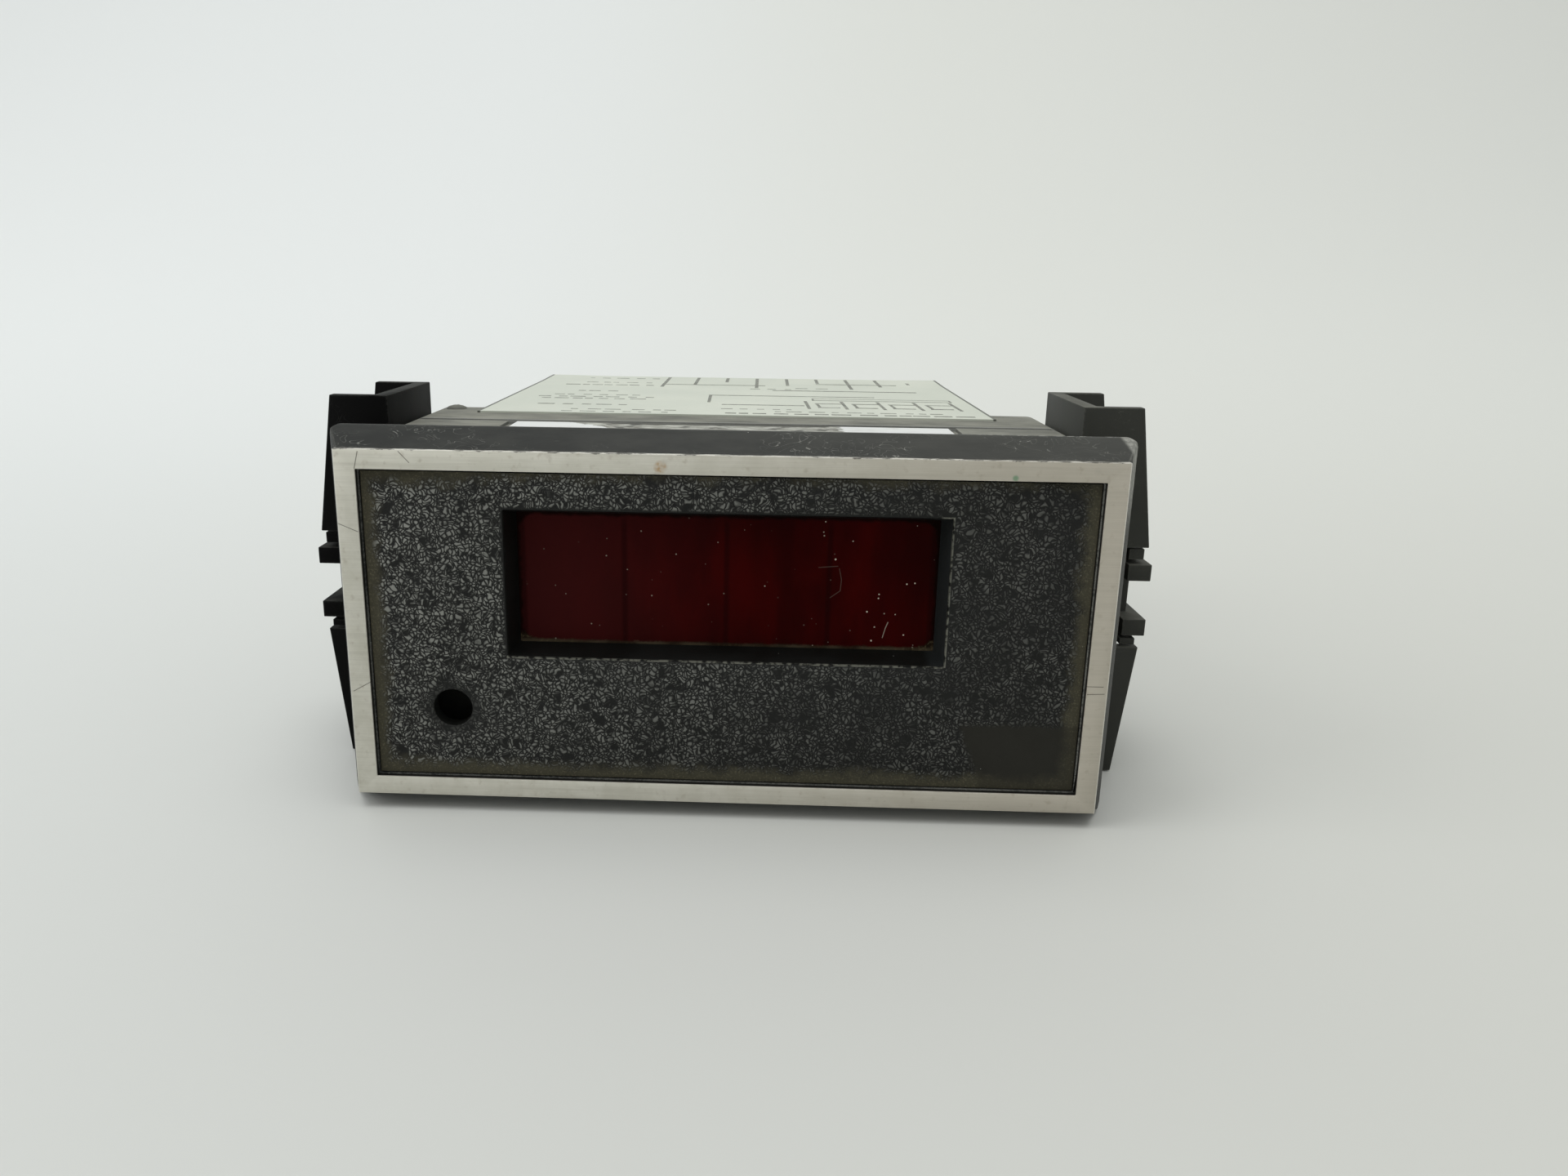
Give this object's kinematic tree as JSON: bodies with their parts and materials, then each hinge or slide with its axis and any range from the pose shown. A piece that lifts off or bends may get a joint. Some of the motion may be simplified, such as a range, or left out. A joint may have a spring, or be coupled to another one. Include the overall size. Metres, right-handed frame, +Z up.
{
  "type": "frequency counter",
  "caption": "Panel-mount frequency counter: framed front with a red display window and an adjuster hole, box case held by side ratchet clips, screw terminals at the back.",
  "frame": {"origin": "under the middle of the object's box, level with its lowest edge (the bottom of the bezel)", "axes": "+X to the right as seen from the front and along the longest extent, +Y from the front face into the case, +Z up and along the shortest extent"},
  "size_m": [0.1112, 0.104, 0.0503],
  "materials": {
    "bezel_plastic": "satin dark grey moulding, dusty and scratched",
    "rim_metal": "fine brushed, a little tarnished",
    "grained_panel": "leather-grained dark grey moulding",
    "red_filter": "very dark red transparent acrylic, dusty",
    "case_plastic": "mid grey moulding, dusty",
    "cover_plastic": "dark grey moulding",
    "screw_steel": "zinc plated",
    "label_card": null,
    "strip_card": "worn white card",
    "circuit_board": "green solder-resist laminate",
    "digit_plastic": "dark display housing with pale segments",
    "trimmer_plastic": "blue moulding",
    "brass_screw": "turned brass",
    "black_plastic": "black moulding",
    "chip_resin": "moulded black resin",
    "can_metal": "tinned can",
    "core_steel": "stacked steel sheets",
    "coil_tape": "yellow winding tape",
    "capacitor_sleeve": "dark blue shrink sleeve",
    "sink_metal": "black anodised aluminium",
    "block_plastic": "black moulding",
    "plate_brass": "nickel plated brass",
    "terminal_steel": "nickel plated",
    "switch_plastic": "red moulding",
    "lever_plastic": "white moulding",
    "clip_black": "black nylon, dusty edges",
    "clip_grey": "very dark grey nylon, dusty edges"
  },
  "bodies": {
    "housing": {"bezel": "bezel_plastic", "bezel_trim": "rim_metal", "front_panel": "grained_panel", "display_window": "red_filter", "case_body": "case_plastic", "rear_cover": "cover_plastic", "cover_screws": "screw_steel", "wiring_label": "label_card", "slot_strip": "strip_card", "display_board": "circuit_board", "display_digit_1": "digit_plastic", "display_digit_2": "digit_plastic", "display_digit_3": "digit_plastic", "display_digit_4": "digit_plastic", "trimmer_body": "trimmer_plastic", "main_board": "circuit_board", "board_header": "black_plastic", "counter_chip": "chip_resin", "driver_chips": "chip_resin", "crystal": "can_metal", "transformer_core": "core_steel", "transformer_coil": "coil_tape", "main_capacitor": "capacitor_sleeve", "small_capacitors": "capacitor_sleeve", "regulator": "chip_resin", "heat_sink": "sink_metal", "terminal_board": "circuit_board", "terminal_block": "block_plastic", "terminal_plates": "plate_brass", "terminal_screws": "terminal_steel", "dip_switch_body": "switch_plastic"},
    "left_clip": {"left_clip": "clip_black"},
    "right_clip": {"right_clip": "clip_grey"},
    "left_latch": {"left_latch": "clip_black"},
    "right_latch": {"right_latch": "clip_grey"},
    "trimmer_screw": {"trimmer_screw": "brass_screw"},
    "dip_lever_1": {"dip_lever_1": "lever_plastic"},
    "dip_lever_2": {"dip_lever_2": "lever_plastic"},
    "dip_lever_3": {"dip_lever_3": "lever_plastic"},
    "dip_lever_4": {"dip_lever_4": "lever_plastic"},
    "dip_lever_5": {"dip_lever_5": "lever_plastic"},
    "dip_lever_6": {"dip_lever_6": "lever_plastic"},
    "dip_lever_7": {"dip_lever_7": "lever_plastic"},
    "dip_lever_8": {"dip_lever_8": "lever_plastic"}
  },
  "joints": [
    {"name": "left_clip_slide", "type": "slide", "parent": "housing", "child": "left_clip", "axis": [0, 1, 0], "range_m": [-0.009, 0.002]},
    {"name": "left_latch_flex", "type": "hinge", "parent": "left_clip", "child": "left_latch", "pos_m": [-0.0528, -0.0196, 0.02513], "axis": [0, 0, -1], "range_deg": [0, 6], "stiffness_Nm_per_rad": 0.05},
    {"name": "right_clip_slide", "type": "slide", "parent": "housing", "child": "right_clip", "axis": [0, 1, 0], "range_m": [-0.009, 0.002]},
    {"name": "right_latch_flex", "type": "hinge", "parent": "right_clip", "child": "right_latch", "pos_m": [0.0528, -0.0196, 0.02513], "axis": [0, 0, 1], "range_deg": [0, 6], "stiffness_Nm_per_rad": 0.05},
    {"name": "trimmer_turn", "type": "hinge", "parent": "housing", "child": "trimmer_screw", "pos_m": [-0.0336, -0.042, 0.0136], "axis": [0, 1, 0], "range_deg": [-135, 135]},
    {"name": "dip_lever_1_slide", "type": "slide", "parent": "housing", "child": "dip_lever_1", "axis": [0, 0, 1], "range_m": [0, 0.0016]},
    {"name": "dip_lever_2_slide", "type": "slide", "parent": "housing", "child": "dip_lever_2", "axis": [0, 0, 1], "range_m": [0, 0.0016]},
    {"name": "dip_lever_3_slide", "type": "slide", "parent": "housing", "child": "dip_lever_3", "axis": [0, 0, 1], "range_m": [0, 0.0016]},
    {"name": "dip_lever_4_slide", "type": "slide", "parent": "housing", "child": "dip_lever_4", "axis": [0, 0, 1], "range_m": [0, 0.0016]},
    {"name": "dip_lever_5_slide", "type": "slide", "parent": "housing", "child": "dip_lever_5", "axis": [0, 0, 1], "range_m": [0, 0.0016]},
    {"name": "dip_lever_6_slide", "type": "slide", "parent": "housing", "child": "dip_lever_6", "axis": [0, 0, 1], "range_m": [0, 0.0016]},
    {"name": "dip_lever_7_slide", "type": "slide", "parent": "housing", "child": "dip_lever_7", "axis": [0, 0, 1], "range_m": [0, 0.0016]},
    {"name": "dip_lever_8_slide", "type": "slide", "parent": "housing", "child": "dip_lever_8", "axis": [0, 0, 1], "range_m": [0, 0.0016]}
  ]
}
